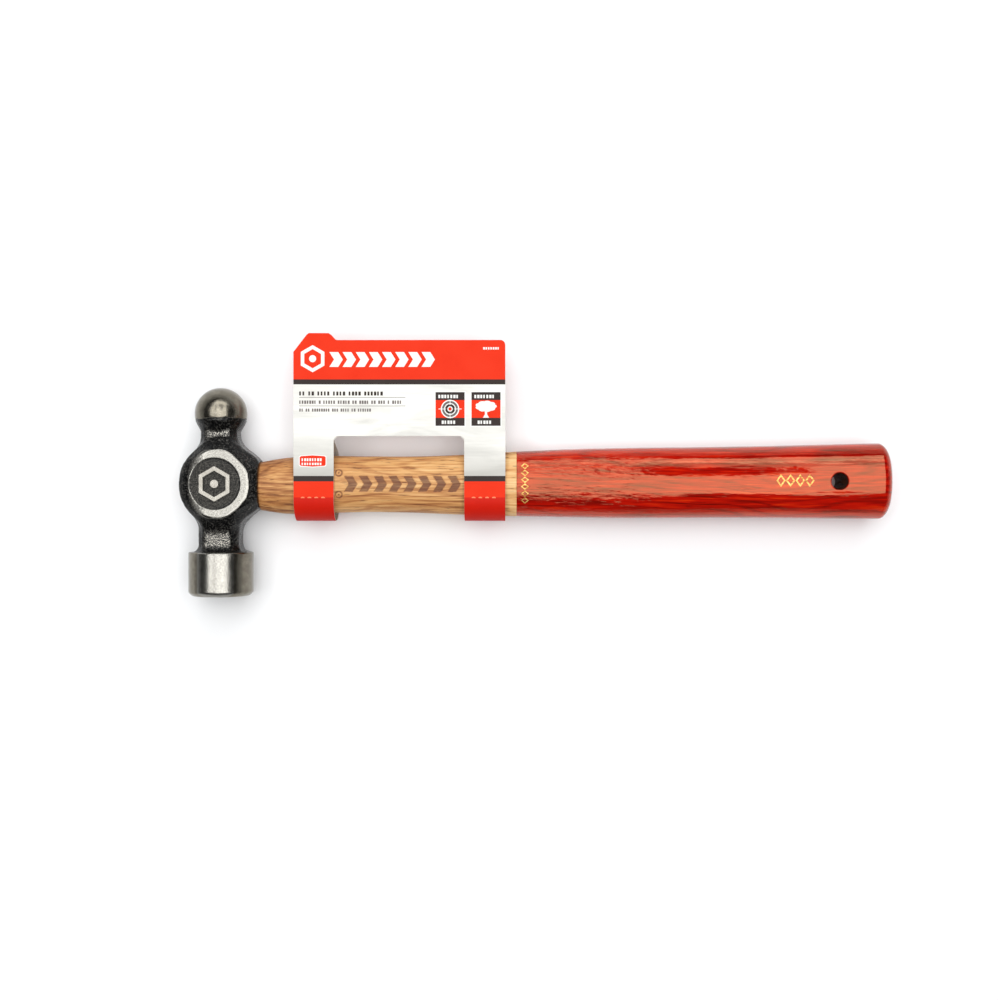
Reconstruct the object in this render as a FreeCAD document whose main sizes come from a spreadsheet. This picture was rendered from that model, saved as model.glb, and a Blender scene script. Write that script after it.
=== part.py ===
import FreeCAD, Part
import math
import os
import sys

import Sketcher

# A 16 oz ball peen hammer with a board display card looped round its handle.
# The hammer lies on its side: +X runs along the handle towards the butt, +Y towards the ball,
# +Z up. Every piece is drawn about the point where the axis of the head crosses the axis of the
# eye, and its Placement then carries it to (head_x, head_y, head_z), so that the origin of the
# part is at the middle of its bounding box, on the surface that the hammer lies on.

SIZES = {
    # place of the head in the part
    "head_x": -153.4, "head_y": -8.65, "head_z": 15.6,
    # striking face, its chamfer and the hollow shoulder behind it
    "face_radius": 15.6, "face_end": 54.9, "face_flat": 10.5, "face_rim": 13.4,
    "face_rim_drop": 0.5, "face_chamfer_end": 52.5, "shoulder_start": 33.3, "neck_end": 28.7,
    "shoulder_hollow": 4.6,
    # ball and the flare below it
    "ball_radius": 12.6, "ball_top": 46.9, "flare_top": 30.3,
    "flare_foot": 26.4,
    # necks, square with chamfered corners
    "ball_neck_half": 8.9, "ball_neck_flat": 5.7, "ball_neck_length": 29.4,
    "face_neck_half": 9.9, "face_neck_flat": 6.2, "face_neck_length": 31.6,
    "neck_core": 8.8, "face_neck_core": 9.8, "core_start": 14.0,
    # boss: a round cheek with a flat collar end towards the handle
    "cheek_half": 14.0, "boss_radius": 20.9, "boss_left": 18.5, "boss_side_x": 8.5,
    "boss_side_y": 19.9, "collar_end": 19.7, "collar_half": 12.1, "boss_chamfer": 4.0,
    "crown_start": 10.5, "crown_depth": 3.2, "crown_reach": 20.5,
    # round pocket in each cheek, with a raised hexagon and dot
    "pocket_x": 0.4, "pocket_radius": 12.25, "pocket_depth": 0.9,
    "hexagon_corner": 8.6, "hexagon_flat": 7.45, "hexagon_inner_corner": 6.2,
    "hexagon_inner_flat": 5.37, "dot_radius": 2.1,
    # eye: narrowest in the middle, so that the wedged tenon can't pull out
    "eye_top_x": 20.0, "eye_top_high": 11.4, "eye_top_thick": 8.3,
    "eye_waist_x": 1.0, "eye_waist_high": 10.2, "eye_waist_thick": 7.3,
    "eye_foot_x": 20.5, "eye_foot_high": 10.9, "eye_foot_thick": 7.9,
    "tenon_play": 0.04, "trim_radius": 20.4, "trim_crown": 18.0, "trim_edge": 13.3,
    "trim_reach": 13.0, "trim_far": 26.0,
    # oval sections of the handle: place, half height, half thickness, and drift of the centre
    "shoulder_x": 19.7, "shoulder_high": 11.75, "shoulder_thick": 9.6, "shoulder_drift": -0.9,
    "flare_x": 30.0, "flare_high": 13.5, "flare_thick": 10.4, "flare_drift": -0.85,
    "swell_x": 39.0, "swell_high": 14.05, "swell_thick": 10.8, "swell_drift": -0.6,
    "waist_x": 84.0, "waist_high": 13.55, "waist_thick": 10.4, "waist_drift": -0.1,
    "throat_x": 139.0, "throat_high": 15.5, "throat_thick": 10.7, "throat_drift": 0.1,
    "fore_x": 178.0, "fore_high": 16.8, "fore_thick": 11.4, "fore_drift": 0.5,
    "palm_x": 240.0, "palm_high": 17.3, "palm_thick": 12.3, "palm_drift": 0.85,
    "heel_x": 300.0, "heel_high": 18.15, "heel_thick": 12.9, "heel_drift": 1.35,
    "butt_x": 320.1, "butt_high": 18.4, "butt_thick": 13.0, "butt_drift": 1.45,
    "end_share": 0.88, "butt_round": 5.2,
    "hang_hole_x": 298.7, "hang_hole_y": 1.3, "hang_hole_radius": 4.05,
    # kerf and wedges
    "kerf_mouth": 1.7, "kerf_tip": 0.3, "kerf_bottom": 9.0, "wedge_play": 0.03,
    "wedge_half_wide": 9.9, "steel_y": 4.6, "steel_half": 0.95, "steel_tip": 0.25,
    "steel_inner": 2.0, "steel_outer": 17.2, "steel_half_wide": 5.6, "barb_run": 2.2,
    "barb_outer": 13.6, "barb_outer_half": 0.5, "barb_middle": 10.6, "barb_middle_half": 0.4,
    "barb_inner": 7.6, "barb_inner_half": 0.3,
    # display card, folded from one board
    "board": 0.45, "card_gap": 11.6, "card_left": 37.2, "card_right": 138.6,
    "window_left": 56.4, "window_right": 118.9, "window_top": 22.9, "window_round": 1.9,
    "card_top": 68.9, "card_round": 2.4, "tab_left": 44.2, "tab_right": 54.2,
    "tab_top": 72.2, "tab_foot_left": 63.1, "tab_foot_right": 58.0,
    "crease_y": 6.5, "band_front": 10.9, "band_back": 12.3, "band_upper": 11.9,
    "band_turn_y": 5.3, "band_tangent_y": 11.42, "band_tangent_z": 3.04, "band_join": 21.0,
    "band_fold": 0.34, "band_skin_y": 0.43, "band_skin_z": 0.13,
}

document = FreeCAD.newDocument("ball_peen_hammer")


def make_sheet():
    """Puts every driving dimension in the spreadsheet, as a plain number with an alias."""
    sheet = document.addObject("Spreadsheet::Sheet", "Dimensions")
    for row, (alias, number) in enumerate(SIZES.items(), start=1):
        sheet.set(f"A{row}", alias)
        sheet.set(f"B{row}", str(number))
        sheet.setAlias(f"B{row}", alias)
    document.recompute()
    return sheet


# A size is written as words and signs, such as "card_top - board": names of cells, plain numbers,
# and a name with *0.5 after it for half of it.


def number_of(text):
    """What a size comes to, for the first drawing of a sketch."""
    total, sign = 0.0, 1.0
    for word in text.split():
        if word in ("+", "-"):
            sign = 1.0 if word == "+" else -1.0
            continue
        name, _, factor = word.partition("*")
        number = sheet.get(name) if name in SIZES else float(name)
        total += sign * number * float(factor or 1)
    return total


def formula_of(text):
    """The same size as an expression that reads the spreadsheet."""
    words = text.split()
    return " ".join(f"Dimensions.{word}" if word.split("*")[0] in SIZES else word for word in words)


def bind(thing, property_name, text):
    thing.setExpression(property_name, formula_of(text))


def make_body(label):
    """An empty body, placed where the head is."""
    body = document.addObject("PartDesign::Body", label)
    body.Label = label
    for axis in "xyz":
        bind(body, f"Placement.Base.{axis}", f"head_{axis}")
    return body


def make_sketch(body, name, role, along="0", across="0"):
    """A sketch on one of the body's own origin planes, moved along its normal and sideways."""
    plane = next(p for p in body.Origin.OriginFeatures if p.Role == role)
    sketch = body.newObject("Sketcher::SketchObject", name)
    sketch.AttachmentSupport = [(plane, "")]
    sketch.MapMode = "FlatFace"
    bind(sketch, "AttachmentOffset.Base.z", along)
    bind(sketch, "AttachmentOffset.Base.x", across)
    return sketch


def measured(size):
    """A size as a number and an expression. Words become both; a pair is both already."""
    return size if isinstance(size, tuple) else (number_of(size), formula_of(size))


def fix_point(sketch, side, end, corner):
    """Ties a point of the sketch to its two coordinates."""
    for kind, axis, size in (("DistanceX", -2, corner[0]), ("DistanceY", -1, corner[1])):
        value, formula = measured(size)
        if abs(value) < 1e-9:
            sketch.addConstraint(Sketcher.Constraint("PointOnObject", side, end, axis))
            continue
        index = sketch.addConstraint(Sketcher.Constraint(kind, -1, 1, side, end, value))
        sketch.setExpression(f"Constraints[{index}]", formula)


def fix_radius(sketch, side, radius):
    value, formula = measured(radius)
    index = sketch.addConstraint(Sketcher.Constraint("Radius", side, value))
    sketch.setExpression(f"Constraints[{index}]", formula)


def arc_between(start, end, radius, side):
    """The shorter arc from start to end, with its centre on the left (1) or right (-1)."""
    chord = end - start
    rise = math.sqrt(max(radius ** 2 - chord.Length ** 2 / 4, 0))
    across = FreeCAD.Vector(-chord.y, chord.x, 0) / chord.Length
    centre = (start + end) / 2 + across * rise * side
    first, last = (start, end) if side > 0 else (end, start)
    angles = [math.atan2(p.y - centre.y, p.x - centre.x) for p in (first, last)]
    circle = Part.Circle(centre, FreeCAD.Vector(0, 0, 1), radius)
    return Part.ArcOfCircle(circle, *angles)


def draw_outline(sketch, corners, arcs=None):
    """Draws a closed outline. arcs says which sides are arcs: {side: (radius, centre side)}."""
    arcs = arcs or {}
    points = [FreeCAD.Vector(measured(x)[0], measured(y)[0], 0) for x, y in corners]
    sides = []
    for index, start in enumerate(points):
        end = points[(index + 1) % len(points)]
        centre_side = 1
        shape = Part.LineSegment(start, end)
        if index in arcs:
            radius, centre_side = arcs[index]
            shape = arc_between(start, end, measured(radius)[0], centre_side)
        side = sketch.addGeometry(shape)
        sides.append((side, 1, 2) if centre_side > 0 else (side, 2, 1))
    for index, (side, start, end) in enumerate(sides):
        following = sides[(index + 1) % len(sides)]
        sketch.addConstraint(Sketcher.Constraint("Coincident", side, end, *following[:2]))
        fix_point(sketch, side, start, corners[index])
    for index, (radius, _) in arcs.items():
        fix_radius(sketch, sides[index][0], radius)


def draw_circle(sketch, centre, radius):
    middle = FreeCAD.Vector(measured(centre[0])[0], measured(centre[1])[0], 0)
    circle = Part.Circle(middle, FreeCAD.Vector(0, 0, 1), measured(radius)[0])
    side = sketch.addGeometry(circle)
    fix_point(sketch, side, 3, centre)
    fix_radius(sketch, side, radius)


def oval_parts(high, thick, share):
    """Of an oval of four tangent arcs: the two radii, and where the arcs meet."""
    end_radius = thick * share
    reach = high - end_radius
    side_radius = (reach ** 2 + thick ** 2 - end_radius ** 2) / (2 * (thick - end_radius))
    ratio = end_radius / (side_radius - end_radius)
    return end_radius, side_radius, reach * (1 + ratio), (side_radius - thick) * ratio


def oval_formulas(high, thick, share):
    """The same four sizes as expressions."""
    end_radius = f"({thick}) * {share}"
    reach = f"({high} - {end_radius})"
    side_radius = (f"(pow({reach}; 2) + pow({thick}; 2) - pow({end_radius}; 2))"
                   f" / (2 * ({thick} - {end_radius}))")
    ratio = f"{end_radius} / ({side_radius} - {end_radius})"
    return end_radius, side_radius, f"{reach} * (1 + {ratio})", f"({side_radius} - {thick}) * {ratio}"


def draw_oval(sketch, high, thick, less="0"):
    """An oval, high along the sketch's X and thick along its Y, and smaller all round by less."""
    sizes = [f"{high} - {less}", f"{thick} - {less}"]
    numbers = oval_parts(*[number_of(size) for size in sizes], sheet.get("end_share"))
    formulas = oval_formulas(*[f"({formula_of(size)})" for size in sizes], "Dimensions.end_share")
    end_radius, side_radius, meet_x, meet_y = zip(numbers, formulas)
    minus_x, minus_y = [(-number, f"-({formula})") for number, formula in (meet_x, meet_y)]
    corners = [(meet_x, minus_y), (meet_x, meet_y), (minus_x, meet_y), (minus_x, minus_y)]
    arcs = {0: (end_radius, 1), 1: (side_radius, 1), 2: (end_radius, 1), 3: (side_radius, 1)}
    draw_outline(sketch, corners, arcs)


def extrude(body, kind, sketch, length, name, symmetric=False, backwards=False):
    """A Pad or a Pocket of the sketch."""
    feature = body.newObject(f"PartDesign::{kind}", name)
    feature.Profile = sketch
    feature.SideType = "Symmetric" if symmetric else "One side"
    feature.Reversed = backwards
    bind(feature, "Length", length)
    return feature


def loft(body, kind, sections, name):
    feature = body.newObject(f"PartDesign::{kind}", name)
    feature.Profile = sections[0]
    feature.Sections = sections[1:]
    return feature


def turn(body, sketch, name):
    """A full turn of the sketch about its own Y axis."""
    feature = body.newObject("PartDesign::Revolution", name)
    feature.Profile = sketch
    feature.ReferenceAxis = (sketch, ["V_Axis"])
    feature.Angle = 360
    return feature


def edges_at(feature, test):
    """Names of the edges of a feature whose every end passes the test."""
    document.recompute()
    names = []
    for index, edge in enumerate(feature.Shape.Edges, start=1):
        if all(test(vertex.Point) for vertex in edge.Vertexes):
            names.append(f"Edge{index}")
    return names


def eye_sections(body, less="0"):
    """The three ovals that the eye, and the tenon in it, are lofted through."""
    sections = []
    for place, along in (("top", "- eye_top_x"), ("waist", "- eye_waist_x"), ("foot", "eye_foot_x")):
        sketch = make_sketch(body, f"eye_{place}", "YZ_Plane", along)
        draw_oval(sketch, f"eye_{place}_high", f"eye_{place}_thick", less)
        sections.append(sketch)
    return sections


def crown_trim(body):
    """Cuts a piece in the eye to the round end of the boss."""
    sketch = make_sketch(body, "crown_trim_outline", "XY_Plane")
    corners = [("- trim_edge", "trim_reach"), ("- trim_crown", "0"), ("- trim_edge", "- trim_reach"),
               ("- trim_far", "- trim_reach"), ("- trim_far", "trim_reach")]
    draw_outline(sketch, corners, {0: ("trim_radius", 1), 1: ("trim_radius", 1)})
    return extrude(body, "Pocket", sketch, "boss_radius", "crown_trim_cut", symmetric=True)


def hexagon(corner, flat):
    """Corners of a hexagon about the middle of the cheek pocket."""
    return [
        ("- pocket_x", corner), (f"- pocket_x - {flat}", f"{corner}*0.5"),
        (f"- pocket_x - {flat}", f"- {corner}*0.5"), ("- pocket_x", f"- {corner}"),
        (f"- pocket_x + {flat}", f"- {corner}*0.5"), (f"- pocket_x + {flat}", f"{corner}*0.5"),
    ]


def make_neck(body, place, length, backwards):
    """A square neck with chamfered corners, from the middle of the boss outwards."""
    half, flat = f"{place}_neck_half", f"{place}_neck_flat"
    sketch = make_sketch(body, f"{place}_neck_outline", "XZ_Plane")
    corners = [(half, flat), (flat, half), (f"- {flat}", half), (f"- {half}", flat),
               (f"- {half}", f"- {flat}"), (f"- {flat}", f"- {half}"), (flat, f"- {half}"),
               (half, f"- {flat}")]
    draw_outline(sketch, corners)
    return extrude(body, "Pad", sketch, length, f"{place}_neck", backwards=backwards)


def make_head():
    """The forging: boss, necks, ball and striking face, with the eye and the cheek pockets."""
    body = make_body("hammer_head")

    outline = make_sketch(body, "boss_outline", "XY_Plane")
    corners = [("collar_end", "- collar_half"), ("collar_end", "collar_half"),
               ("boss_side_x", "boss_side_y"), ("- boss_left", "0"),
               ("boss_side_x", "- boss_side_y")]
    draw_outline(outline, corners, {2: ("boss_radius", 1), 3: ("boss_radius", 1)})
    boss = extrude(body, "Pad", outline, "cheek_half + cheek_half", "boss", symmetric=True)

    rims = edges_at(boss, lambda p: abs(abs(p.z) - sheet.get("cheek_half")) < 1e-6)
    bevel = body.newObject("PartDesign::Chamfer", "boss_bevel")
    bevel.Base = (boss, rims)
    bind(bevel, "Size", "boss_chamfer")

    # The cheeks fall away towards the end of the eye.
    for side, sign in (("upper", ""), ("lower", "- ")):
        crown = make_sketch(body, f"crown_{side}_outline", "XZ_Plane")
        low = "cheek_half - crown_depth" if side == "upper" else "- cheek_half + crown_depth"
        high = f"{sign}cheek_half"
        draw_outline(crown, [("- crown_start", high), ("- crown_reach", high),
                             ("- crown_reach", low)])
        extrude(body, "Pocket", crown, "boss_radius + boss_radius", f"crown_{side}", symmetric=True)

    make_neck(body, "ball", "ball_neck_length", backwards=True)
    make_neck(body, "face", "face_neck_length", backwards=False)

    poll = make_sketch(body, "face_profile", "XY_Plane")
    corners = [("0", "- core_start"), ("0", "- face_end"), ("face_flat", "- face_end"),
               ("face_rim", "- face_end + face_rim_drop"), ("face_radius", "- face_chamfer_end"),
               ("face_radius", "- shoulder_start"), ("face_neck_core", "- neck_end"),
               ("face_neck_core", "- core_start")]
    draw_outline(poll, corners, {5: ("shoulder_hollow", -1)})
    turn(body, poll, "striking_face")

    # The flare meets the ball on the sphere itself, whose centre is on the axis of the head.
    drop = "ball_top - ball_radius - flare_top"
    flare_radius = (math.sqrt(number_of("ball_radius") ** 2 - number_of(drop) ** 2),
                    f"sqrt(pow({formula_of('ball_radius')}; 2) - pow({formula_of(drop)}; 2))")
    peen = make_sketch(body, "ball_profile", "XY_Plane")
    corners = [("0", "core_start"), ("neck_core", "core_start"), ("neck_core", "flare_foot"),
               (flare_radius, "flare_top"), ("0", "ball_top")]
    draw_outline(peen, corners, {3: ("ball_radius", 1)})
    turn(body, peen, "ball")

    loft(body, "SubtractiveLoft", eye_sections(body), "eye")

    pocket_outline = make_sketch(body, "pocket_outline", "XY_Plane", "cheek_half")
    draw_circle(pocket_outline, ("- pocket_x", "0"), "pocket_radius")
    draw_outline(pocket_outline, hexagon("hexagon_corner", "hexagon_flat"))
    draw_outline(pocket_outline, hexagon("hexagon_inner_corner", "hexagon_inner_flat"))
    draw_circle(pocket_outline, ("- pocket_x", "0"), "dot_radius")
    pocket = extrude(body, "Pocket", pocket_outline, "pocket_depth", "cheek_pocket")
    document.recompute()
    both = body.newObject("PartDesign::Mirrored", "both_cheek_pockets")
    both.Originals = [pocket]
    both.MirrorPlane = (next(p for p in body.Origin.OriginFeatures if p.Role == "XY_Plane"), [""])
    body.Tip = both
    return body


def wedge_outline(sign, play):
    """A thin wedge that narrows from the end of the eye inwards, larger all round by play."""
    other = "+" if sign == "-" else "-"
    middle = f"{sign} steel_y"
    return [
        ("- steel_outer", f"{middle} {sign} steel_half {sign} {play}"),
        ("- steel_inner", f"{middle} {sign} steel_tip {sign} {play}"),
        ("- steel_inner", f"{middle} {other} steel_tip {other} {play}"),
        ("- steel_outer", f"{middle} {other} steel_half {other} {play}"),
    ]


def steel_slot(body, place, sign):
    """A slot for a steel wedge, cut across a piece in the eye and open at the eye's end."""
    sketch = make_sketch(body, f"{place}_slot_outline", "XY_Plane")
    corners = wedge_outline(sign, "wedge_play")
    mouth = [("- trim_far", corners[index][1]) for index in (3, 0)]
    draw_outline(sketch, corners + mouth)
    length = "steel_half_wide + steel_half_wide + wedge_play + wedge_play"
    return extrude(body, "Pocket", sketch, length, f"{place}_slot", symmetric=True)


STATIONS = ("shoulder", "flare", "swell", "waist", "throat", "fore", "palm", "heel", "butt")
STEEL_WEDGES = (("steel_wedge_ball_side", "+"), ("steel_wedge_face_side", "-"))


def make_handle():
    """The hickory handle: grip and waist, tenon with its kerf, and the hang hole."""
    body = make_body("handle")
    sections = []
    for place in STATIONS:
        sketch = make_sketch(body, f"{place}_section", "YZ_Plane", f"{place}_x", f"{place}_drift")
        draw_oval(sketch, f"{place}_high", f"{place}_thick")
        sections.append(sketch)
    loft(body, "AdditiveLoft", sections, "grip")

    # The butt is rounded over by ovals that shrink as the points of a quarter circle do.
    sections = []
    for degrees in (0, 25, 45, 62, 76, 86):
        rise = math.sin(math.radians(degrees))
        less = f"butt_round*{1 - math.cos(math.radians(degrees)):.4f}"
        along = f"butt_x + butt_round*{rise:.4f}"
        sketch = make_sketch(body, f"butt_section_{degrees}", "YZ_Plane", along, "butt_drift")
        draw_oval(sketch, "butt_high", "butt_thick", less)
        sections.append(sketch)
    loft(body, "AdditiveLoft", sections, "butt_rounding")

    loft(body, "AdditiveLoft", eye_sections(body, "tenon_play"), "tenon")

    kerf = make_sketch(body, "kerf_outline", "XZ_Plane")
    draw_outline(kerf, [("- trim_far", "kerf_mouth"), ("- trim_far", "- kerf_mouth"),
                        ("kerf_bottom", "- kerf_tip"), ("kerf_bottom", "kerf_tip")])
    extrude(body, "Pocket", kerf, "boss_radius + boss_radius", "kerf", symmetric=True)
    for name, sign in STEEL_WEDGES:
        steel_slot(body, name, sign)
    crown_trim(body)

    hole = make_sketch(body, "hang_hole_outline", "XY_Plane")
    draw_circle(hole, ("hang_hole_x", "hang_hole_y"), "hang_hole_radius")
    extrude(body, "Pocket", hole, "butt_high + butt_high", "hang_hole", symmetric=True)
    return body


def make_wooden_wedge():
    """The hardwood wedge in the kerf, crossed by the two steel wedges."""
    body = make_body("wooden_wedge")
    outline = make_sketch(body, "wedge_outline", "XZ_Plane")
    inner = "kerf_bottom - wedge_play"
    draw_outline(outline, [("- trim_far", "kerf_mouth - wedge_play"),
                           ("- trim_far", "- kerf_mouth + wedge_play"),
                           (inner, "- kerf_tip + wedge_play"), (inner, "kerf_tip - wedge_play")])
    extrude(body, "Pad", outline, "wedge_half_wide + wedge_half_wide", "wedge", symmetric=True)
    for name, sign in STEEL_WEDGES:
        steel_slot(body, name, sign)
    crown_trim(body)
    return body


def make_steel_wedge(label, sign):
    """A steel wedge with saw-tooth barbs, driven across the wooden wedge."""
    body = make_body(label)
    outline = make_sketch(body, "wedge_outline", "XY_Plane")
    draw_outline(outline, wedge_outline(sign, "0"))
    extrude(body, "Pad", outline, "steel_half_wide + steel_half_wide", "wedge", symmetric=True)

    middle = f"{sign} steel_y"
    teeth = make_sketch(body, "barb_outline", "XY_Plane")
    for place in ("outer", "middle", "inner"):
        for side in ("+", "-"):
            skin = f"{middle} {side} steel_half"
            draw_outline(teeth, [(f"- barb_{place} - barb_run", skin),
                                 (f"- barb_{place}", f"{middle} {side} barb_{place}_half"),
                                 (f"- barb_{place}", skin)])
    extrude(body, "Pocket", teeth, "cheek_half + cheek_half", "barbs", symmetric=True)
    return body


def make_band(body, place, start, end):
    """A band of the card: over the front of the handle, under it and back up behind it."""
    sketch = make_sketch(body, f"{place}_band_outline", "YZ_Plane", start)
    low_y = "- crease_y - band_front"
    side_z = "card_gap - band_front"
    back_y = f"{low_y} + band_back"
    arcs = {1: "band_front", 2: "band_back", 4: "band_upper"}
    inside = [("band_join", "card_gap"), ("- crease_y", "card_gap"), (low_y, side_z),
              (back_y, "- card_gap"), ("band_turn_y", "- card_gap"),
              ("band_turn_y + band_tangent_y", "- band_tangent_z")]
    draw_outline(sketch, inside, {side: (radius, 1) for side, radius in arcs.items()})
    tip_y = "band_join + band_fold"
    outside = [(tip_y, "card_gap + board"), ("- crease_y", "card_gap + board"),
               (f"{low_y} - board", side_z), (back_y, "- card_gap - board"),
               ("band_turn_y", "- card_gap - board"),
               ("band_turn_y + band_tangent_y + band_skin_y", "- band_tangent_z - band_skin_z"),
               (tip_y, "card_gap - board")]
    draw_outline(sketch, outside, {side: (f"{radius} + board", 1) for side, radius in arcs.items()})
    return extrude(body, "Pad", sketch, f"{end} - {start}", f"{place}_band")


def make_card():
    """The display card: two boards glued together above the window, and two bands below it."""
    body = make_body("display_card")
    panel = make_sketch(body, "panel_outline", "XY_Plane", "card_gap")
    low = "window_top - window_round"
    corners = [
        ("card_left", low), ("window_left", low), ("window_left + window_round", "window_top"),
        ("window_right - window_round", "window_top"), ("window_right", low), ("card_right", low),
        ("card_right", "card_top - card_round"), ("card_right - card_round", "card_top"),
        ("tab_foot_right", "card_top"), ("tab_right", "tab_top"), ("tab_left", "tab_top"),
        ("card_left", "tab_foot_left"),
    ]
    draw_outline(panel, corners, {1: ("window_round", -1), 3: ("window_round", -1),
                                  6: ("card_round", 1)})
    extrude(body, "Pad", panel, "board + board", "panel", symmetric=True)
    make_band(body, "near", "card_left", "window_left")
    make_band(body, "far", "window_right", "card_right")
    return body


def stop_at_faults(pieces):
    """Stops the build if any object failed, or if a piece has no sound solid."""
    for thing in document.Objects:
        faults = [state for state in thing.State if state in ("Invalid", "Error")]
        if faults:
            sys.exit(f"{thing.Label}: {faults}")
    for piece in pieces:
        shape = piece.Shape
        if shape.isNull() or not shape.isValid() or len(shape.Solids) != 1:
            sys.exit(f"{piece.Label}: not one sound solid")


sheet = make_sheet()
pieces = [make_head(), make_handle(), make_wooden_wedge()]
pieces += [make_steel_wedge(name, sign) for name, sign in STEEL_WEDGES]
pieces.append(make_card())
document.recompute()
stop_at_faults(pieces)

os.makedirs("parts", exist_ok=True)
for piece in pieces:
    piece.Shape.exportStep(os.path.join("parts", f"{piece.Label}.step"))
    print(f"{piece.Label}: {piece.Shape.Volume / 1000:.2f} cm3")
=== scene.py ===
"""The looks of a ball peen hammer with a display card round its handle, built round the CAD frame."""

import itertools
import math

import bmesh
import bpy
import numpy as np
import openvdb
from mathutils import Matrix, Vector
from mathutils.bvhtree import BVHTree


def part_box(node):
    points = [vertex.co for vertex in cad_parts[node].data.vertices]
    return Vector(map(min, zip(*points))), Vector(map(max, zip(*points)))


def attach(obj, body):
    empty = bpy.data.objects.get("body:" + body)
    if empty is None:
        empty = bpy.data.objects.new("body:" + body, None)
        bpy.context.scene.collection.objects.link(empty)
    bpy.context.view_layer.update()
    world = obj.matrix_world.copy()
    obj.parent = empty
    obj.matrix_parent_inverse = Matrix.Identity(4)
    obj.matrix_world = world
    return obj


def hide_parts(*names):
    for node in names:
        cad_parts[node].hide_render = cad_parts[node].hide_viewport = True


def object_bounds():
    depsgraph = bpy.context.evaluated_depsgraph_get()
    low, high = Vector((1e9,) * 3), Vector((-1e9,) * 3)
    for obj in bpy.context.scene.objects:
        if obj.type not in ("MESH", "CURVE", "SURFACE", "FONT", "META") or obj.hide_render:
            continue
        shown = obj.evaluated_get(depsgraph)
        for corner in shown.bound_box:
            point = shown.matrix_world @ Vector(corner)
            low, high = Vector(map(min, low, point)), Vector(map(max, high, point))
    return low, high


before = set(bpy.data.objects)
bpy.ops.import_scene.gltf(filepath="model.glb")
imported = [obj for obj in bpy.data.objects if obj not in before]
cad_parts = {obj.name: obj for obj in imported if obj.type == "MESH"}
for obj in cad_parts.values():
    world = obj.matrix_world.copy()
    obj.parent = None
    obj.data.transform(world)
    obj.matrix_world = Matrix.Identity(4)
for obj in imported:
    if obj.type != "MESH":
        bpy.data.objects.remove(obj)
cad_box = [list(corner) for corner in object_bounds()]
link = bpy.context.scene.collection.objects.link

# Shapes are worked out in millimetres about the point where the axis of the head crosses the
# axis of the eye: X along the handle, Y towards the ball, Z up.
MM = 0.001
BALL_TOP, BOSS_LEFT, CHEEK = 46.9, 18.5, 14.0
POCKET_X, POCKET_RADIUS, POCKET_DEPTH = -0.4, 12.25, 0.9
head_low, head_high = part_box("hammer_head")
ORIGIN = np.array((head_low.x + BOSS_LEFT * MM, head_high.y - BALL_TOP * MM,
                   (head_low.z + head_high.z) / 2))


def to_frame(points):
    return ORIGIN + np.asarray(points, float) * MM


def smooth_step(value, low, high):
    share = np.clip((value - low) / (high - low), 0, 1)
    return share * share * (3 - 2 * share)


def rough(points, size, seed, cells=32):
    """Smooth noise from -1 to 1 at points in millimetres, with bumps of about that size."""
    lattice = np.random.default_rng(seed).uniform(-1, 1, (cells,) * 3)
    scaled = np.asarray(points, float) / np.asarray(size, float)
    base = np.floor(scaled).astype(int)
    part = scaled - base
    part = part * part * (3 - 2 * part)
    total = np.zeros(len(scaled))
    for corner in itertools.product((0, 1), repeat=3):
        weight = np.prod(np.where(corner, part, 1 - part), axis=1)
        total += weight * lattice[tuple(((base + corner) % cells).T)]
    return total


# ------------------------ pieces

def make_object(name, points, faces, materials, smooth=True):
    """A mesh in the scene, from points in millimetres."""
    mesh = bpy.data.meshes.new(name)
    mesh.from_pydata(to_frame(points).tolist(), [], [[int(i) for i in face] for face in faces])
    for material in materials:
        mesh.materials.append(material)
    mesh.polygons.foreach_set("use_smooth", [smooth] * len(mesh.polygons))
    mesh.update()
    made = bpy.data.objects.new(name, mesh)
    link(made)
    return made


def make_piece(name, points, faces, materials, body="hammer", kinds=None, smooth=True):
    """A piece of the tool or the card. kinds gives each face's material."""
    piece = make_object(name, points, faces, materials, smooth)
    if kinds is not None:
        piece.data.polygons.foreach_set("material_index", np.asarray(kinds, np.int32))
    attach(piece, body)
    return piece


def paint_points(piece, name, values):
    """Keeps a number for each point of a piece, for its material to read."""
    attribute = piece.data.attributes.new(name, "FLOAT", "POINT")
    attribute.data.foreach_set("value", np.asarray(values, np.float32))


# ------------------------ materials

def screen(red, green, blue):
    """A colour as it looks on a screen, from 0 to 255, as the shader needs it."""
    def linear(level):
        return level / 12.92 if level <= 0.04045 else ((level + 0.055) / 1.055) ** 2.4
    return (*(linear(level / 255) for level in (red, green, blue)), 1.0)


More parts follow.
